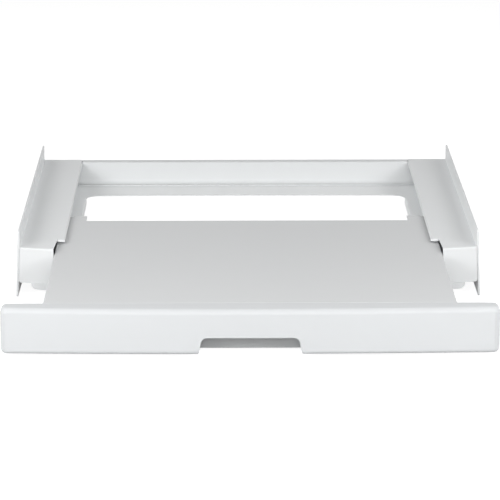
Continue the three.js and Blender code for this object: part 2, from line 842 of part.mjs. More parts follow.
// Front panel: a moulded shell, open at the rear, with ribs, screw bosses and a walled notch.
function frontPanel() {
  const farFront = -panelFront - overrun;
  const ribRear = -panelRibGap;
  const high = shelfTop + overrun;
  const low = panelGround - overrun;
  const aheadOf = (y) => solid(
    upright(rectangle(-frameWidth, farFront, frameWidth, y), low, high),
  );
  const block = solid(panelBlock(0)).intersect(aheadOf(0));
  const shell = block.subtract(solid(panelBlock(panelWall)));
  const ribPlaces = [];
  for (let x = panelRibFirst; x < panelHalf - panelCornerRadius; x += panelRibPitch) {
    ribPlaces.push(x, -x);
  }
  const ribs = ribPlaces.map((x) => upright(
    rectangle(x - panelRib / 2, farFront, x + panelRib / 2, ribRear), low, high,
  ));
  const surround = lengthwise(notchShape(notchSurround), farFront, ribRear);
  const inner = join(...ribs, surround).intersect(solid(panelBlock(panelWall / 2)));
  const bosses = panelScrewPlaces.map(([x, z]) => lengthwise(
    circle(x, z, bossRadius), farFront, 0,
  ));
  const bumperBosses = [bumperX, -bumperX].map((x) => lengthwise(
    circle(x, bumperZ, bumperBossRadius), farFront, 0,
  ));
  const posts = join(...bosses, ...bumperBosses).intersect(solid(panelBlock(panelWall / 2)));
  const bores = panelScrewPlaces.map(([x, z]) => lengthwise(
    circle(x, z, smallScrewDiameter / 2 + seam), -bossBoreDepth, overrun,
  ));
  const notch = lengthwise(notchShape(0), farFront, overrun);
  const whole = shell.add(inner).add(posts.intersect(aheadOf(0)));
  return surface(cut(whole, notch, ...bores));
}

// Rubber buffer with its flat base down and its domed tip up.
function bumper() {
  return turned([
    [0, 0],
    [bumperRadius, 0],
    [bumperRadius, bumperLength / 2],
    [bumperTipRadius, bumperLength],
    [0, bumperLength],
  ], screwSides);
}

// The frame, with its front at Y = 0.
function frame() {
  const group = new THREE.Group();
  const rail = sideRail();
  const cap = flangeCap();
  const support = plateSupport();
  const guide = shelfGuide();
  const footShape = foot();
  const padShape = footPad();
  const footScrewLength = footScrewSeat - footBoreBottom - footScrewTipGap;
  const footScrew = screw(footScrewDiameter, footScrewLength);
  const guideScrew = screw(smallScrewDiameter, smallScrewLength);
  addPiece(group, "rear_crossmember", rearCrossmember(), whiteEnamel());
  addPiece(group, "base_pan", basePan(), whiteEnamel());
  addPiece(group, "front_crossmember", frontCrossmember(), whiteEnamel());
  for (const [side, hand] of [["left", -1], ["right", 1]]) {
    addPiece(group, `${side}_side_rail`, rail, whiteEnamel()).scale.x = hand;
    addPiece(group, `${side}_flange_cap`, cap, whitePlastic()).scale.x = hand;
    addPiece(group, `${side}_plate_support`, support, whiteEnamel()).scale.x = hand;
    addPiece(group, `${side}_guide`, guide, paleNylon()).scale.x = hand;
    for (const [end, place] of [["front", 0], ["rear", 1]]) {
      const label = `${end}_${side}`;
      const footY = footYs[place];
      addPiece(group, `foot_${label}`, footShape, whitePlastic())
        .position.set(hand * footX, footY, 0);
      addPiece(group, `foot_pad_${label}`, padShape, greyRubber())
        .position.set(hand * footX, footY, 0);
      addPiece(group, `foot_screw_${label}`, footScrew, zincPlate())
        .position.set(hand * footX, footY, footScrewSeat);
      addPiece(group, `guide_screw_${label}`, guideScrew, zincPlate())
        .position.set(hand * guideScrewX, guideScrewYs[place], floorTop + guideBase + 2 * seam);
    }
  }
  return group;
}

// The shelf, with the panel's rear plane at Y = 0.
function shelf() {
  const group = new THREE.Group();
  const buffer = bumper();
  const panelScrew = screw(smallScrewDiameter, smallScrewLength);
  addPiece(group, "shelf_plate", shelfPlate(), whiteEnamel());
  addPiece(group, "front_panel", frontPanel(), whitePlastic());
  ["front", "rear"].forEach((end, i) => {
    addPiece(group, `${end}_stiffener`, stiffener(stiffenerPlaces[i]), whiteEnamel());
  });
  for (const [side, hand] of [["left", -1], ["right", 1]]) {
    const piece = addPiece(group, `${side}_bumper`, buffer, greyRubber());
    piece.position.set(hand * bumperX, seam, bumperZ);
    piece.rotation.x = -Math.PI / 2;
  }
  panelScrewPlaces.forEach(([x, z], i) => {
    const piece = addPiece(group, `panel_screw_${i + 1}`, panelScrew, zincPlate());
    piece.position.set(x, seam + sheet + seam, z);
    piece.rotation.x = -Math.PI / 2;
  });
  return group;
}

const kit = new THREE.Group();
const fixedFrame = frame();
const slidingShelf = shelf();
slidingShelf.position.y = -extension;
kit.add(fixedFrame, slidingShelf);
kit.position.y = overallDepth / 2 - frameDepth;

export default kit;
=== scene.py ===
"""Washer dryer stacking kit: finishes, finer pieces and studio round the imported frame.

Metres, +Z up, the front panel towards -Y, the shelf pulled out to its stop.
"""
import json
import math

import bmesh
import bpy
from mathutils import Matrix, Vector


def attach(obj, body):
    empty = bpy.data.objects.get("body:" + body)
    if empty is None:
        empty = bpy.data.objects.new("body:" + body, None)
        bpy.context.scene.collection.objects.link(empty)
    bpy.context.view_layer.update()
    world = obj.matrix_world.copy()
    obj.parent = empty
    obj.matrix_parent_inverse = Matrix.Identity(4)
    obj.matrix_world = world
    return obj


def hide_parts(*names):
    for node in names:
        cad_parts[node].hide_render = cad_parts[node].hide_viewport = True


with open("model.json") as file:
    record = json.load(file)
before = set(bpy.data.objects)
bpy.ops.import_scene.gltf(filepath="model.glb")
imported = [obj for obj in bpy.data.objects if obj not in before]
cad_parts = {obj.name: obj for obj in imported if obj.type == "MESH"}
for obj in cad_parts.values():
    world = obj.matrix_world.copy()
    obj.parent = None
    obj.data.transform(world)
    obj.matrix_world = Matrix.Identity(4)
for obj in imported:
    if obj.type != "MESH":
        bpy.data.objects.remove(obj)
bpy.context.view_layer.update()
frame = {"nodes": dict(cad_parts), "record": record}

MM = 0.001
BODIES = frame["record"]["behaviour"]["bodies"]
BODY_OF = {node: body for body, nodes in BODIES.items() for node in nodes}
SLOT_OF = {part["node"]: part["material_slot"] for part in frame["record"]["subparts"]}

# Colours as linear red, green and blue
ENAMEL_WHITE = (0.835, 0.85, 0.855)
# Rear crossmember: the frame's enamel made darker, painted shade on the rear wall
REAR_WHITE_PAINTED_SHADE = (0.765, 0.78, 0.785)
# Base pan: the frame's enamel made brighter, painted light standing in for bounce off the rear wall
TRAY_WHITE_WITH_PAINTED_LIGHT = (0.94, 0.955, 0.96)
# Shelf: the same enamel made darker, painted shade for the shadowing it lacks
SHELF_WHITE_PAINTED_SHADE = (0.685, 0.695, 0.70)
PRIMER_GREY = (0.60, 0.61, 0.62)
PANEL_WHITE = (0.678, 0.693, 0.703)
# Flange caps: the panel's plastic made brighter, painted light where they sit in the flange's shade
CAP_WHITE_PAINTED_LIGHT = (0.82, 0.835, 0.84)
FOOT_WHITE = (0.74, 0.75, 0.76)
NYLON_WHITE = (0.66, 0.665, 0.655)
RUBBER_GREY = (0.045, 0.046, 0.048)
ZINC_GREY = (0.56, 0.57, 0.60)
STUDIO_WHITE = (1.0, 1.0, 1.0)

# Numbers that all finishes share
NOISE_MIDDLE = 0.5
EDGE_SAMPLES = 6
EDGE_CONTRAST = 5
MIX_AMOUNT, MIX_FIRST, MIX_SECOND, MIX_RESULT = 0, 6, 7, 2  # sockets of a mix of two colours

# Powder coat: sizes of its patterns, and how much of each goes into the whole
COAT_CLOUD = 140 * MM
COAT_PEEL = 2.6 * MM
COAT_SPECK = 0.5 * MM
COAT_WEAR = 6 * MM
COAT_EDGE = 0.9 * MM
COAT_RELIEF = 0.04 * MM
SPECK_RELIEF = 0.25
COAT_ROUGHNESS = 0.50
COAT_ROUGHER = (0.10, 0.06, 0.06, 0.4)  # by cloud, speck, edge and scuff
COAT_SHINE = 0.25
SCUFF_SIZE = 5 * MM
SCUFF_STRETCH = (1, 16, 1)  # along the shelf's travel
SCUFF_LEAST = 0.16  # fainter scuffs don't show
EDGE_THINNER = 0.30
SCUFF_THINNER = 0.5
CLOUD_THINNER = 0.03
PRIMER_SHARE = 0.35  # that shows where the coat is thinnest

# Moulded plastic
PLASTIC_CLOUD = 90 * MM
PLASTIC_GRAIN = 0.7 * MM
PLASTIC_FLOW = 14 * MM
PLASTIC_STRETCH = (6, 1, 1)
PLASTIC_EDGE = 0.8 * MM
PLASTIC_RELIEF = 0.02 * MM
FLOW_RELIEF = 0.3
PLASTIC_ROUGHNESS = 0.52
PLASTIC_ROUGHER = (0.06, 0.10, 0.04, -0.06)  # by cloud, grain, flow and edge
PLASTIC_SHINE = 0.28
PLASTIC_TINT = 0.965
CLOUD_TINTED = 0.5
FLOW_TINTED = 0.2

# Rubber
RUBBER_BLOOM = 7 * MM
RUBBER_GRAIN = 0.6 * MM
RUBBER_RELIEF = 0.05 * MM
BLOOM_RELIEF = 0.4
BLOOM_LEVEL = 0.35
RUBBER_ROUGHNESS = 0.80
RUBBER_ROUGHER = (0.12,)  # by bloom
RUBBER_PALER = 2.4

# Zinc
ZINC_CLOUD = 2.5 * MM
ZINC_MARKS = 0.35 * MM
ZINC_STRETCH = (1, 1, 0.25)
ZINC_RELIEF = 0.01 * MM
ZINC_ROUGHNESS = 0.30
ZINC_ROUGHER = (0.15, 0.08)  # by cloud and marks
ZINC_TINT = (1.08, 1.02, 0.88)

# Edges of the pieces
CUT_EDGE = 0.22 * MM  # rounding of a cut edge of sheet
MOULDED_EDGE = 0.45 * MM
MOULDED_SLOTS = ("white_plastic", "nylon")
EDGE_SEGMENTS = 2
SHARP_ANGLE = math.radians(38)
FLAT_ANGLE = math.radians(0.2)
WELD_DISTANCE = 0.002 * MM
CUT_SNAP = WELD_DISTANCE / 2

# The pan's opening
OPENING_SIDE = 228 * MM
OPENING_FOLD = 3 * MM  # half the space that holds a side's fold
FOLD_END = 27 * MM  # height of the side folds' lower edges

# The front panel's bow, its upper front edge and its upper corners seen from the front
PANEL_FRONT = -415 * MM
BOW_RADIUS = 4490 * MM
BOW_STEPS = 24
SOFT_RADIUS = 7 * MM
SOFT_BANDS = [band * MM for band in (5.3, 5.8, 6.4, 7)]  # from the front and from the top
PANEL_HALF = 299.5 * MM
PANEL_TOP = 61 * MM
CORNER_RADIUS = 7 * MM
SOLID_CORNER_RADIUS = 5 * MM

# The lower edges of the panel and of the shelf's front fold
LOW_EDGE_TOP = 26 * MM
LOW_EDGE_RUN = 12 * MM
LOW_EDGE_DROP = 1.1 * MM
FOLD_REAR = -370 * MM
FOLD_EDGE = 3.5 * MM
FOLD_DROP = 2.1 * MM

# Upper end of the flange caps' leaves
LEAF_TOP = 21 * MM
LEAF_WELD = 20 * WELD_DISTANCE

# Turned pieces: profiles in millimetres, out from the axis and up from the base or, for the
# feet, from the floor
UPRIGHT = (0.0, 0.0, 0.0)
LYING = (-math.pi / 2, 0.0, 0.0)  # the top towards the rear
AXIS_OF = {UPRIGHT: 2, LYING: 1}
PIVOT = 0.0005 * MM  # radius of the circle that profiles are turned on
PIVOT_WELD = 4 * PIVOT
SMALL_WELD = WELD_DISTANCE / 4
TURNED_SIDES = 56
FOOT_PROFILE = [
    (0, 3.3), (15.9, 3.3), (16.3, 0.9), (17.2, 0.9), (18.6, 1.3), (19.5, 2.3), (19.9, 3.9),
    (19.9, 4.2), (19.3, 4.6), (19.3, 9.0), (19.0, 9.6), (18.2, 10.1), (14.2, 11.9),
    (13.3, 12.8), (13, 14), (13, 27.4), (13.4, 28.3), (16.3, 30.1), (17, 30.9), (17, 33.2),
    (16.8, 33.5), (2.9, 33.5), (2.8, 33.3), (2.8, 11.5), (0, 11.5),
]
FOOT_SIZES = {
    "Grips": 30, "Grip Reach": 19.3 * MM, "Grip Depth": 1.2 * MM, "Grip Width": 2.1 * MM,
    "Grip Height": 4.4 * MM, "Fins": 6, "Fin Reach": 14.6 * MM, "Fin Depth": 5.4 * MM,
    "Fin Width": 1.8 * MM, "Fin Height": 8.0 * MM,
}
GRIP_MIDDLE = 6.7 * MM  # above the floor
FIN_MIDDLE = 12.6 * MM
PAD_PROFILE = [
    (0, 0.7), (3.4, 0.7), (4, 0.1), (4.4, 0), (7.4, 0), (7.8, 0.1), (8.4, 0.7), (10.2, 0.7),
    (10.8, 0.1), (11.2, 0), (14.9, 0), (15.5, 0.15), (15.9, 0.5), (16, 0.9), (16, 2.8),
    (15.8, 3), (0, 3),
]
BUMPER_PROFILE = [
    (0, 0), (5.9, 0), (6, 0.2), (6, 1.7), (5.4, 2.1), (5.4, 2.5), (6, 2.9), (5.9, 3.5),
    (5.3, 4.5), (4.4, 5.4), (3.2, 5.9), (1.6, 6), (0, 6),
]

# Screws: diameter, length under the head and pitch in millimetres, and how the head points
SCREWS = {
    "foot_screws": (5, 18, 0.8, UPRIGHT),
    "guide_screws": (3.6, 9, 1.3, UPRIGHT),
    "panel_screws": (3.6, 9, 1.3, LYING),
}
SCREW_SIDES = 24
THREAD_STEPS = 14  # for each turn
THREAD_SIDES = 4
PAN_HEAD = (  # shares of the diameter and of the head's height
    (0.97, 0), (1, 0.1), (1, 0.42), (0.94, 0.64), (0.8, 0.82), (0.55, 0.95), (0.28, 1), (0, 1),
)
HEAD_HEIGHT = 0.6  # of the diameter
RIDGE_OF_RADIUS, RIDGE_OF_PITCH = 0.2, 0.42  # the smaller one holds
TIP_WIDTH = 0.45  # of the core
TIP_LENGTH = 0.8  # this and the next three of the radius
NECK_LOWER = 0.7
NECK_UPPER = 0.4
THREADLESS = 1.9  # above and below the thread together
RECESS_LENGTH, RECESS_WIDTH = 1.05, 0.24  # of the diameter
RECESS_DEPTH = 0.62  # of the head's height

# The camera fitted to the photograph
CAMERA_PLACE = Vector((-31.0, -3727.8, 954.1)) * MM
CAMERA_TURN = (math.radians(76.11), math.radians(0.01), math.radians(-0.53))
CAMERA_LENS = 207.38
CAMERA_REACH = 50
FILM_WIDTH = 36.0

# The studio
FLOOR_SIZE = 14.0
FLOOR_GLOW = 0.93  # of the floor that the camera sees; the lamps add the rest outside the shadow
FLOOR_SHADE = (0.4, 0.4, 0.4)
FLOOR_GREY = (0.6, 0.6, 0.6)
LAMP_AIM = Vector((0, -0.05, 0.05))
SIDE_BALANCE = 0.05  # by which the left lamps are stronger, and the right ones weaker
LAMPS = {  # place and size in metres, power in watts
    "front_softbox": ((0, -2.4, 1.1), 1.0, 17.3),
    "top_softbox": ((0, 0.1, 2.2), 1.2, 5.3),
}
LAMP_PAIRS = {
    "front_spot": ((1.25, -1.2, 0.7), 0.5, 7.0),
    "near_spot": ((0.85, -1.25, 0.7), 0.5, 5.1),
    "side_softbox": ((1.8, 0.1, 0.6), 0.9, 2.9),
    "high_softbox": ((1.4, 0.1, 1.4), 0.9, 3.1),
    "rear_softbox": ((1.4, 1.4, 1.0), 0.9, 5.6),
}


class Field:
    """A node's output that can stand in a sum: each operator adds a Math node."""

    def __init__(self, nodes, socket):
        self.nodes = nodes
        self.socket = socket

    def math(self, operation, *values):
        settings = {"operation": operation}
        return self.nodes.add("ShaderNodeMath", settings, dict(enumerate(values)))

    def __add__(self, other):
        return self.math("ADD", self, other)

    def __radd__(self, other):
        return self.math("ADD", other, self)

    def __sub__(self, other):
        return self.math("SUBTRACT", self, other)

    def __rsub__(self, other):
        return self.math("SUBTRACT", other, self)

    def __mul__(self, other):
        return self.math("MULTIPLY", self, other)

    def __truediv__(self, other):
        return self.math("DIVIDE", self, other)

    def clamped(self):
        clamp = self.math("ADD", self, 0.0)
        clamp.socket.node.use_clamp = True
        return clamp

    def at_least(self, other):
        return self.math("MAXIMUM", self, other)


class Nodes:
    """Adds nodes to one tree."""

    def __init__(self, tree):
        self.tree = tree

    def add(self, kind, settings=None, values=None, output=0):
        """A node of a kind, with its settings and its sockets' values or links, a list for many."""
        node = self.tree.nodes.new(kind)
        for name, value in (settings or {}).items():
            setattr(node, name, value)
        for name, value in (values or {}).items():
            if isinstance(value, Field):
                self.tree.links.new(value.socket, node.inputs[name])
            elif isinstance(value, list):
                for field in value:
                    self.tree.links.new(field.socket, node.inputs[name])
            else:
                node.inputs[name].default_value = value
        return Field(self, node.outputs[output]) if node.outputs else None


def opaque(colour):
    return (*colour, 1)


class Finish(Nodes):
    """A material under construction, with patterns measured on the piece itself."""

    def __init__(self, name):
        self.material = bpy.data.materials.new(name)
        self.material.use_nodes = True
        super().__init__(self.material.node_tree)
        self.tree.nodes.clear()
        self.place = self.add("ShaderNodeTexCoord", output="Object")

    def noise(self, size, detail=2.0, stretch=(1, 1, 1)):
        """Cloudy noise about zero, whose spots are about one size across."""
        place = self.place
        if stretch != (1, 1, 1):
            shares = tuple(1 / part for part in stretch)
            place = self.add("ShaderNodeMapping", {}, {"Vector": place, "Scale": shares})
        values = {"Vector": place, "Scale": 1 / size, "Detail": detail}
        return self.add("ShaderNodeTexNoise", {}, values) - NOISE_MIDDLE

    def blend(self, amount, first, second):
        """One colour turning into another."""
        values = {MIX_AMOUNT: amount, MIX_FIRST: opaque(first), MIX_SECOND: opaque(second)}
        return self.add("ShaderNodeMix", {"data_type": "RGBA"}, values, output=MIX_RESULT)

    def worn_edges(self, reach):
        """1 on an edge of the piece and 0 away from it."""
        rounded = self.add("ShaderNodeBevel", {"samples": EDGE_SAMPLES}, {"Radius": reach})
        straight = self.add("ShaderNodeNewGeometry", output="Normal")
        settings = {"operation": "DOT_PRODUCT"}
        normals = {0: rounded, 1: straight}
        alike = self.add("ShaderNodeVectorMath", settings, normals, output="Value")
        return ((1 - alike) * EDGE_CONTRAST).clamped()

    def close(self, colour, roughness, height, depth, **constants):
        """The surface itself. Height is a bump pattern and depth its real depth."""
        relief = {"Height": height, "Strength": 1.0, "Distance": depth}
        bump = self.add("ShaderNodeBump", {}, relief)
        values = {"Base Color": colour, "Roughness": roughness, "Normal": bump}
        values.update({name.replace("_", " "): value for name, value in constants.items()})
        surface = self.add("ShaderNodeBsdfPrincipled", {}, values)
        self.add("ShaderNodeOutputMaterial", {}, {"Surface": surface})
        return self.material


def with_shares(start, shares, *patterns):
    """A start value with a share of each pattern added."""
    for share, pattern in zip(shares, patterns):
        start = start + pattern * share
    return start


def powder_coat(name, white, rubbed):
    """Stoved white powder: orange peel, slightly thin along the cut edges, more or less rubbed."""
    finish = Finish(name)
    cloud = finish.noise(COAT_CLOUD, detail=3)
    peel = finish.noise(COAT_PEEL, detail=1)
    speck = finish.noise(COAT_SPECK, detail=1)
    edge = finish.worn_edges(COAT_EDGE)
    streaks = finish.noise(SCUFF_SIZE, detail=4, stretch=SCUFF_STRETCH)
    scuff = (streaks - SCUFF_LEAST).clamped() * rubbed
    worn = edge * (EDGE_THINNER + finish.noise(COAT_WEAR)) + scuff * SCUFF_THINNER
    thin = (worn + (cloud + NOISE_MIDDLE) * CLOUD_THINNER).clamped()
    colour = finish.blend(thin * PRIMER_SHARE, white, PRIMER_GREY)
    roughness = with_shares(COAT_ROUGHNESS, COAT_ROUGHER, cloud, speck, edge, scuff)
    height = peel + speck * SPECK_RELIEF
    return finish.close(colour, roughness, height, COAT_RELIEF, Specular_IOR_Level=COAT_SHINE)


def moulded_plastic(name, white):
    """Injection moulding from a finely spark-eroded tool, polished a little along its edges."""
    finish = Finish(name)
    cloud = finish.noise(PLASTIC_CLOUD, detail=2)
    grain = finish.noise(PLASTIC_GRAIN, detail=2)
    flow = finish.noise(PLASTIC_FLOW, detail=2, stretch=PLASTIC_STRETCH)
    edge = finish.worn_edges(PLASTIC_EDGE)
    tint = tuple(part * PLASTIC_TINT for part in white)
    amount = ((cloud + NOISE_MIDDLE) * CLOUD_TINTED + flow * FLOW_TINTED).clamped()
    colour = finish.blend(amount, white, tint)
    roughness = with_shares(PLASTIC_ROUGHNESS, PLASTIC_ROUGHER, cloud, grain, flow, edge)
    height = grain + flow * FLOW_RELIEF
    return finish.close(colour, roughness, height, PLASTIC_RELIEF, Specular_IOR_Level=PLASTIC_SHINE)


def rubber(name, grey):
    """Matt moulded rubber with a little bloom."""
    finish = Finish(name)
    bloom = finish.noise(RUBBER_BLOOM, detail=4)
    grain = finish.noise(RUBBER_GRAIN, detail=2)
    pale = tuple(part * RUBBER_PALER for part in grey)
    colour = finish.blend((bloom + BLOOM_LEVEL).clamped(), grey, pale)
    roughness = with_shares(RUBBER_ROUGHNESS, RUBBER_ROUGHER, bloom)
    return finish.close(colour, roughness, grain + bloom * BLOOM_RELIEF, RUBBER_RELIEF)


def zinc_plate(name, grey):
    """Bright zinc with a clouded passivation and fine turning marks."""
    finish = Finish(name)
    cloud = finish.noise(ZINC_CLOUD, detail=3)
    marks = finish.noise(ZINC_MARKS, detail=2, stretch=ZINC_STRETCH)
    warm = tuple(part * share for part, share in zip(grey, ZINC_TINT))
    colour = finish.blend((cloud + NOISE_MIDDLE).clamped(), grey, warm)
    roughness = with_shares(ZINC_ROUGHNESS, ZINC_ROUGHER, cloud, marks)
    return finish.close(colour, roughness, marks, ZINC_RELIEF, Metallic=1.0)


def link(name, data):
    """A new object in the scene."""
    piece = bpy.data.objects.new(name, data)
    bpy.context.scene.collection.objects.link(piece)
    return piece


def settle(piece):
    """Turns a piece's modifiers into plain mesh."""
    view = bpy.context.evaluated_depsgraph_get()
    mesh = bpy.data.meshes.new_from_object(piece.evaluated_get(view))
    piece.modifiers.clear()
    piece.data = mesh
    return piece


def smooth(piece):
    for face in piece.data.polygons:
        face.use_smooth = True


def eased(piece, width):
    """Rounds a piece's sharp edges by a width and shades its flats flat."""
    smooth(piece)
    bevel = piece.modifiers.new("edges", "BEVEL")
    bevel.width = width
    bevel.segments = EDGE_SEGMENTS
    bevel.limit_method = "ANGLE"
    bevel.angle_limit = SHARP_ANGLE
    piece.modifiers.new("flats", "WEIGHTED_NORMAL")
    return settle(piece)


class Editing:
    """A mesh as an editable shape, written back at the end."""

    def __init__(self, mesh):
        self.mesh = mesh
        self.shape = bmesh.new()

    def __enter__(self):
        self.shape.from_mesh(self.mesh)
        return self.shape

    def __exit__(self, *failure):
        self.shape.to_mesh(self.mesh)
        self.shape.free()


def copied_solid(node):
    """A node's solid with its triangles joined into whole faces."""
    source = frame["nodes"][node].data
    mesh = bpy.data.meshes.new(node + "_copy")
    faces = [tuple(face.vertices) for face in source.polygons]
    mesh.from_pydata([vertex.co for vertex in source.vertices], [], faces)
    with Editing(mesh) as shape:
        bmesh.ops.remove_doubles(shape, verts=shape.verts, dist=WELD_DISTANCE)
        bmesh.ops.dissolve_limit(
            shape, angle_limit=FLAT_ANGLE, verts=shape.verts, edges=shape.edges,
            use_dissolve_boundaries=False,
        )
    return mesh


def shorten_side_folds(mesh):
    """The pan's side folds end at the photograph's depth instead of the solid's."""
    for vertex in mesh.vertices:
        on_fold = abs(abs(vertex.co.x) - OPENING_SIDE) < OPENING_FOLD
        if on_fold and vertex.co.z < FOLD_END:
            vertex.co.z = FOLD_END


def rounding_share(across, above, radius, solid_radius):
    """Share of its distance from the larger rounding's middle that a corner's point keeps."""
    square = radius - solid_radius
    small, large = sorted(side / math.hypot(across, above) for side in (across, above))
    edge = radius / large
    if edge * small > square:
        lean = square * (small + large)
        edge = lean + math.sqrt(lean**2 - 2 * square**2 + solid_radius**2)
    return radius / edge


def bowed_back(across):
    """How far the panel's bowed front lies behind its middle."""
    return BOW_RADIUS - math.sqrt(BOW_RADIUS**2 - across**2)


def cut_through(shape, place, facing):
    """New edges wherever a plane meets the shape."""
    whole = shape.verts[:] + shape.edges[:] + shape.faces[:]
    bmesh.ops.bisect_plane(shape, geom=whole, dist=CUT_SNAP, plane_co=place, plane_no=facing)


def soften_top(mesh):
    """The panel's upper front edge takes the photograph's broad rounding all along the bow."""
    with Editing(mesh) as shape:
        for step in range(1, BOW_STEPS):
            cut_through(shape, (PANEL_HALF * (2 * step / BOW_STEPS - 1), 0, 0), (1, 0, 0))
        for vertex in shape.verts:
            vertex.co.y -= bowed_back(vertex.co.x)
        for band in SOFT_BANDS:
            cut_through(shape, (0, PANEL_FRONT + band, 0), (0, 1, 0))
            cut_through(shape, (0, 0, PANEL_TOP - band), (0, 0, 1))
        for vertex in shape.verts:
            ahead = PANEL_FRONT + SOFT_RADIUS - vertex.co.y
            above = vertex.co.z - (PANEL_TOP - SOFT_RADIUS)
            if ahead > WELD_DISTANCE and above > WELD_DISTANCE:
                share = rounding_share(ahead, above, SOFT_RADIUS, SOLID_CORNER_RADIUS)
                vertex.co.y = PANEL_FRONT + SOFT_RADIUS - ahead * share
                vertex.co.z = PANEL_TOP - SOFT_RADIUS + above * share
        for vertex in shape.verts:
            vertex.co.y += bowed_back(vertex.co.x)


def round_corners(mesh):
    """The panel's upper corners take the photograph's larger rounding, seen from the front."""
    for vertex in mesh.vertices:
        across = abs(vertex.co.x) - (PANEL_HALF - CORNER_RADIUS)
        above = vertex.co.z - (PANEL_TOP - CORNER_RADIUS)
        if across > WELD_DISTANCE and above > WELD_DISTANCE:
            share = rounding_share(across, above, CORNER_RADIUS, SOLID_CORNER_RADIUS)
            reach = PANEL_HALF - CORNER_RADIUS + across * share
            vertex.co.x = math.copysign(reach, vertex.co.x)
            vertex.co.z = PANEL_TOP - CORNER_RADIUS + above * share


def lower_edge(mesh):
    """The panel's lower edge hangs at the photograph's height, lower towards the ends."""
    for vertex in mesh.vertices:
        share = min(1, max(0, (LOW_EDGE_TOP - vertex.co.z) / LOW_EDGE_RUN))
        vertex.co.z -= share * LOW_EDGE_DROP * (1 + (vertex.co.x / PANEL_HALF) ** 2)


def lower_fold(mesh):
    """The shelf's front fold, seen through the notch, reaches as low as in the photograph."""
    ahead = [vertex for vertex in mesh.vertices if vertex.co.y < FOLD_REAR]
    lowest = min(vertex.co.z for vertex in ahead)
    for vertex in ahead:
        if vertex.co.z < lowest + FOLD_EDGE:
            vertex.co.z -= FOLD_DROP


def trim_leaves(mesh):
    """A flange cap's leaves end at the flange's lower edge, as far as the photograph shows."""
    with Editing(mesh) as shape:
        for vertex in shape.verts:
            vertex.co.z = min(vertex.co.z, LEAF_TOP)
        bmesh.ops.remove_doubles(shape, verts=shape.verts, dist=LEAF_WELD)
        bmesh.ops.dissolve_degenerate(shape, edges=shape.edges, dist=LEAF_WELD)


RESHAPED = {
    "base_pan": [shorten_side_folds],
    "front_panel": [soften_top, round_corners, lower_edge],
    "shelf_plate": [lower_fold],
    "left_flange_cap": [trim_leaves],
    "right_flange_cap": [trim_leaves],
}


def stand_for(piece, nodes, finish):
    """A finished piece takes the place of some nodes of one body."""
    piece.data.materials.clear()
    piece.data.materials.append(FINISHES[finish])
    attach(piece, BODY_OF[nodes[0]])
    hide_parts(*nodes)


def refined(node):
    """One solid with its edges rounded, reshaped where the photograph shows more than it has."""
    mesh = copied_solid(node)
    for reshape in RESHAPED.get(node, []):
        reshape(mesh)
    slot = SLOT_OF[node]
    edge = MOULDED_EDGE if slot in MOULDED_SLOTS else CUT_EDGE
    stand_for(eased(link("fine_" + node, mesh), edge), [node], OWN_FINISH.get(node, slot))


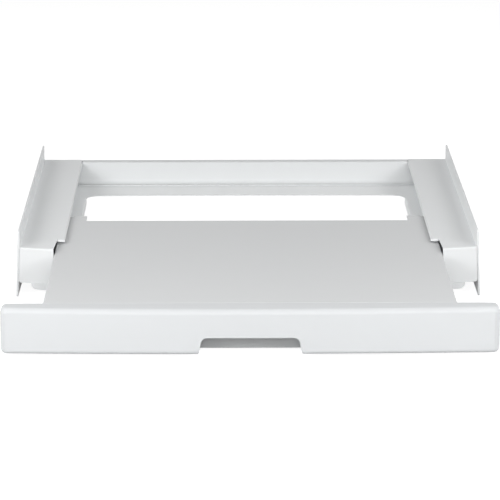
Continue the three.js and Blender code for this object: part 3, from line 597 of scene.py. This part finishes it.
class Maker(Nodes):
    """A Geometry Nodes tree under construction, with a named input for each size."""

    KINDS = {float: "NodeSocketFloat", int: "NodeSocketInt", tuple: "NodeSocketVector"}

    def __init__(self, name, sizes):
        super().__init__(bpy.data.node_groups.new(name, "GeometryNodeTree"))
        sockets = self.tree.interface
        sockets.new_socket("Geometry", in_out="INPUT", socket_type="NodeSocketGeometry")
        sockets.new_socket("Geometry", in_out="OUTPUT", socket_type="NodeSocketGeometry")
        for label, size in sizes.items():
            sockets.new_socket(label, in_out="INPUT", socket_type=self.KINDS[type(size)])
        self.given = self.tree.nodes.new("NodeGroupInput")
        self.places = Field(self, self.given.outputs["Geometry"])

    def size(self, label):
        return Field(self, self.given.outputs[label])

    def joined(self, *parts):
        return self.add("GeometryNodeJoinGeometry", {}, {"Geometry": list(parts)})

    def moved(self, part, **change):
        return self.add("GeometryNodeTransform", {}, {"Geometry": part, **change})

    def vector(self, x, y, z):
        return self.add("ShaderNodeCombineXYZ", {}, {"X": x, "Y": y, "Z": z})

    def raised(self, part, height):
        return self.moved(part, Translation=self.vector(0.0, 0.0, height))

    def block(self, width, depth, height):
        return self.add("GeometryNodeMeshCube", {}, {"Size": self.vector(width, depth, height)})

    def circle(self, sides, radius):
        values = {"Resolution": sides, "Radius": radius}
        return self.add("GeometryNodeCurvePrimitiveCircle", {"mode": "RADIUS"}, values)

    def turned(self):
        """The drawn profile, X from the axis and Y down it, turned into a closed body."""
        profile = self.add("GeometryNodeMeshToCurve", {}, {"Mesh": self.places})
        values = {"Curve": self.circle(self.size("Sides"), PIVOT), "Profile Curve": profile}
        shell = self.add("GeometryNodeCurveToMesh", {}, values)
        values = {"Geometry": shell, "Distance": PIVOT_WELD}
        closed = self.add("GeometryNodeMergeByDistance", {}, values)
        return self.add("GeometryNodeFlipFaces", {}, {"Mesh": closed})

    def thread(self):
        """A ridge wound round the shank, from under the head down."""
        run, core = self.size("Thread Length"), self.size("Thread Core")
        path = self.add("GeometryNodeCurveSpiral", {}, {
            "Resolution": THREAD_STEPS, "Rotations": run / self.size("Thread Pitch"),
            "Height": run, "Start Radius": core, "End Radius": core,
        })
        section = self.circle(THREAD_SIDES, self.size("Thread Ridge"))
        values = {"Curve": path, "Profile Curve": section, "Fill Caps": True}
        ridge = self.add("GeometryNodeCurveToMesh", {}, values)
        return self.raised(ridge, self.size("Thread Start") - run)

    def cross_cut(self, body):
        """The body with a cross recess in its head, cut by bars that stand half above it."""
        length, width = self.size("Recess Length"), self.size("Recess Width")
        height = self.size("Recess Depth") * 2
        top = self.size("Head Height")
        bars = [
            self.raised(self.block(length, width, height), top),
            self.raised(self.block(width, length, height), top),
        ]
        values = {"Mesh 1": body, "Mesh 2": bars}
        return self.add("GeometryNodeMeshBoolean", {"operation": "DIFFERENCE"}, values)

    def ringed(self, label):
        """Blocks in a ring round the axis, with sizes of one label."""
        sides = [self.size(f"{label} {side}") for side in ("Depth", "Width", "Height")]
        part = self.raised(self.block(*sides), self.size(f"{label} Middle"))
        count = self.size(label + "s")
        values = {"Vertices": count, "Radius": self.size(f"{label} Reach")}
        ring = self.add("GeometryNodeMeshCircle", {}, values)
        turn = self.add("GeometryNodeInputIndex") * (2 * math.pi) / count
        heading = self.vector(0.0, 0.0, turn)
        values = {"Points": ring, "Instance": part, "Rotation": heading}
        return self.add("GeometryNodeInstanceOnPoints", {}, values)

    def finish(self, part, material):
        """Sets the part on each of its seats."""
        settings = {"data_type": "BOOLEAN"}
        seat = self.add("GeometryNodeInputNamedAttribute", settings, {"Name": "seat"})
        spread = self.add("GeometryNodeInstanceOnPoints", {}, {
            "Points": self.places, "Selection": seat, "Instance": part,
            "Rotation": self.size("Turn"),
        })
        whole = self.add("GeometryNodeRealizeInstances", {}, {"Geometry": spread})
        values = {"Geometry": whole, "Material": material}
        coated = self.add("GeometryNodeSetMaterial", {}, values)
        self.add("NodeGroupOutput", {}, {"Geometry": coated})
        return self.tree


def extent(node):
    """Lowest and highest corner of a node's solid."""
    spots = [vertex.co for vertex in frame["nodes"][node].data.vertices]
    return [
        Vector(pick(spot[axis] for spot in spots) for axis in range(3)) for pick in (min, max)
    ]


def seats(nodes, turn, head_height=None):
    """Where each piece's profile starts: the middle of its base, or of its head's underside."""
    axis = AXIS_OF[turn]
    found = []
    for node in nodes:
        low, high = extent(node)
        seat = (low + high) / 2
        seat[axis] = low[axis] if head_height is None else high[axis] - head_height * MM
        found.append(seat)
    return found


def repeated(name, places, profile, sizes, tree, finish):
    """One mesh for a set of like pieces: a drawn profile, made up by a tree on each seat."""
    points = [(x * MM, -y * MM, 0) for x, y in profile]
    lines = [(i, i + 1) for i in range(len(points) - 1)]
    mesh = bpy.data.meshes.new(name)
    mesh.from_pydata(points + [tuple(place) for place in places], lines, [])
    flags = mesh.attributes.new("seat", "BOOLEAN", "POINT")
    flags.data.foreach_set("value", [False] * len(points) + [True] * len(places))
    piece = link(name, mesh)
    modifier = piece.modifiers.new("maker", "NODES")
    modifier.node_group = tree
    for item in tree.interface.items_tree:
        if item.in_out == "INPUT" and item.name in sizes:
            modifier[item.identifier] = sizes[item.name]
    settle(piece)
    with Editing(piece.data) as shape:
        bmesh.ops.remove_doubles(shape, verts=shape.verts, dist=SMALL_WELD)
        bmesh.ops.recalc_face_normals(shape, faces=shape.faces)
    smooth(piece)
    piece.data.set_sharp_from_angle(angle=SHARP_ANGLE)
    stand_for(piece, SETS[name], finish)


def foot_set(name):
    """Turned feet with a milled grip round the flange and fins up to the waist."""
    nodes = SETS[name]
    base = extent(nodes[0])[0].z
    profile = [(x, y - base / MM) for x, y in FOOT_PROFILE]
    middles = {"Grip Middle": GRIP_MIDDLE - base, "Fin Middle": FIN_MIDDLE - base}
    sizes = {"Turn": UPRIGHT, "Sides": TURNED_SIDES, **FOOT_SIZES, **middles}
    maker = Maker("foot", sizes)
    foot = maker.joined(maker.turned(), maker.ringed("Grip"), maker.ringed("Fin"))
    tree = maker.finish(foot, FINISHES["foot"])
    repeated(name, seats(nodes, UPRIGHT), profile, sizes, tree, "foot")


def rubber_set(name, profile, turn):
    """Turned rubber pieces: pads with ringed soles, or domed buffers."""
    sizes = {"Turn": turn, "Sides": TURNED_SIDES}
    maker = Maker(name, sizes)
    tree = maker.finish(maker.turned(), FINISHES["rubber"])
    repeated(name, seats(SETS[name], turn), profile, sizes, tree, "rubber")


def screw_set(name, diameter, length, pitch, turn):
    """Pan-headed screws with a wound thread and a cross recess."""
    radius = diameter / 2
    head_height = diameter * HEAD_HEIGHT
    ridge = min(radius * RIDGE_OF_RADIUS, pitch * RIDGE_OF_PITCH)
    core = radius - ridge
    profile = [
        (0, -length), (core * TIP_WIDTH, -length), (core, radius * TIP_LENGTH - length),
        (core, -radius * NECK_LOWER), (radius, -radius * NECK_UPPER), (radius, 0),
    ]
    profile += [(diameter * reach, head_height * rise) for reach, rise in PAN_HEAD]
    sizes = {
        "Turn": turn, "Sides": SCREW_SIDES,
        "Thread Length": (length - radius * THREADLESS) * MM, "Thread Pitch": pitch * MM,
        "Thread Core": core * MM, "Thread Ridge": ridge * MM, "Thread Start": -radius * MM,
        "Head Height": head_height * MM, "Recess Length": diameter * RECESS_LENGTH * MM,
        "Recess Width": diameter * RECESS_WIDTH * MM,
        "Recess Depth": head_height * RECESS_DEPTH * MM,
    }
    maker = Maker(name, sizes)
    screw = maker.joined(maker.cross_cut(maker.turned()), maker.thread())
    tree = maker.finish(screw, FINISHES["zinc"])
    repeated(name, seats(SETS[name], turn, head_height), profile, sizes, tree, "zinc")


def area_lamp(name, place, size, power):
    lamp = bpy.data.lights.new(name, "AREA")
    lamp.size = size
    lamp.energy = power
    piece = link(name, lamp)
    piece.location = place
    piece.rotation_euler = (Vector(place) - LAMP_AIM).to_track_quat("Z", "Y").to_euler()


def lamp_pair(name, place, size, power):
    across, along, height = place
    area_lamp("left_" + name, (-across, along, height), size, power * (1 + SIDE_BALANCE))
    area_lamp("right_" + name, (across, along, height), size, power * (1 - SIDE_BALANCE))


def seen_directly(nodes):
    """1 for what the camera sees, also in a reflection or through something clear."""
    camera_ray = nodes.add("ShaderNodeLightPath", output="Is Camera Ray")
    outputs = camera_ray.socket.node.outputs
    glossy_ray = Field(nodes, outputs["Is Glossy Ray"])
    transmission_ray = Field(nodes, outputs["Is Transmission Ray"])
    return camera_ray.at_least(glossy_ray).at_least(transmission_ray)


def studio_floor():
    """Plain white floor that keeps a faint shadow."""
    half = FLOOR_SIZE / 2
    corners = [(-half, -half, 0), (half, -half, 0), (half, half, 0), (-half, half, 0)]
    mesh = bpy.data.meshes.new("studio_floor")
    mesh.from_pydata(corners, [], [(0, 1, 2, 3)])
    floor = link("studio_floor", mesh)
    finish = Finish("studio_floor")
    glow_values = {"Color": opaque(STUDIO_WHITE), "Strength": FLOOR_GLOW}
    plain = finish.add("ShaderNodeBsdfDiffuse", {}, {"Color": opaque(FLOOR_GREY)})
    glow = finish.add("ShaderNodeEmission", {}, glow_values)
    shaded = finish.add("ShaderNodeBsdfDiffuse", {}, {"Color": opaque(FLOOR_SHADE)})
    white = finish.add("ShaderNodeAddShader", {}, {0: glow, 1: shaded})
    choice = {0: seen_directly(finish), 1: plain, 2: white}
    mixed = finish.add("ShaderNodeMixShader", {}, choice)
    finish.add("ShaderNodeOutputMaterial", {}, {"Surface": mixed})
    mesh.materials.append(finish.material)


def studio_air():
    """White behind everything, which lights nothing by itself."""
    world = bpy.data.worlds.new("studio")
    world.use_nodes = True
    bpy.context.scene.world = world
    nodes = Nodes(world.node_tree)
    world.node_tree.nodes.clear()
    values = {"Color": opaque(STUDIO_WHITE), "Strength": seen_directly(nodes)}
    air = nodes.add("ShaderNodeBackground", {}, values)
    nodes.add("ShaderNodeOutputWorld", {}, {"Surface": air})


def photo_camera():
    """The camera fitted to the photograph."""
    camera = bpy.data.cameras.new("photo_camera")
    camera.lens = CAMERA_LENS
    camera.sensor_width = FILM_WIDTH
    camera.clip_end = CAMERA_REACH
    piece = link("photo_camera", camera)
    piece.location = CAMERA_PLACE
    piece.rotation_euler = CAMERA_TURN
    bpy.context.scene.camera = piece


def at_corners(stem):
    """The four nodes of a piece that stands at each corner."""
    return [f"{stem}_{end}_{side}" for end in ("front", "rear") for side in ("left", "right")]


FINISHES = {
    "enamel": powder_coat("white_powder_coat", ENAMEL_WHITE, rubbed=0.5),
    # the shelf's darker enamel is painted shade
    "shelf": powder_coat("shelf_powder_coat", SHELF_WHITE_PAINTED_SHADE, rubbed=1.0),
    # the rear crossmember's darker enamel is painted shade
    "rear": powder_coat("rear_powder_coat", REAR_WHITE_PAINTED_SHADE, rubbed=0.5),
    # the base pan's brighter enamel is painted light
    "tray_painted_light": powder_coat("tray_powder_coat", TRAY_WHITE_WITH_PAINTED_LIGHT, rubbed=0.3),
    "white_plastic": moulded_plastic("panel_plastic", PANEL_WHITE),
    # the caps' brighter plastic is painted light
    "cap": moulded_plastic("cap_plastic", CAP_WHITE_PAINTED_LIGHT),
    "foot": moulded_plastic("foot_plastic", FOOT_WHITE),
    "nylon": moulded_plastic("guide_nylon", NYLON_WHITE),
    "rubber": rubber("grey_rubber", RUBBER_GREY),
    "zinc": zinc_plate("bright_zinc", ZINC_GREY),
}
OWN_FINISH = {  # where it isn't that of the node's slot; the shelf, pan, rear crossmember and caps take lighter or darker copies that paint light or shade
    "shelf_plate": "shelf", "base_pan": "tray_painted_light", "rear_crossmember": "rear",
    "left_flange_cap": "cap", "right_flange_cap": "cap",
}
SETS = {
    "feet": at_corners("foot"),
    "foot_pads": at_corners("foot_pad"),
    "bumpers": ["left_bumper", "right_bumper"],
    "foot_screws": at_corners("foot_screw"),
    "guide_screws": at_corners("guide_screw"),
    "panel_screws": [node for node in BODY_OF if node.startswith("panel_screw")],
}
IN_SETS = {node for nodes in SETS.values() for node in nodes}

foot_set("feet")
rubber_set("foot_pads", PAD_PROFILE, UPRIGHT)
rubber_set("bumpers", BUMPER_PROFILE, LYING)
for name, proportions in SCREWS.items():
    screw_set(name, *proportions)
for node in BODY_OF:
    if node not in IN_SETS:
        refined(node)

studio_floor()
studio_air()
photo_camera()
for name, (place, size, power) in LAMPS.items():
    area_lamp(name, place, size, power)
for name, (place, size, power) in LAMP_PAIRS.items():
    lamp_pair(name, place, size, power)
bpy.context.scene.view_settings.view_transform = "Standard"
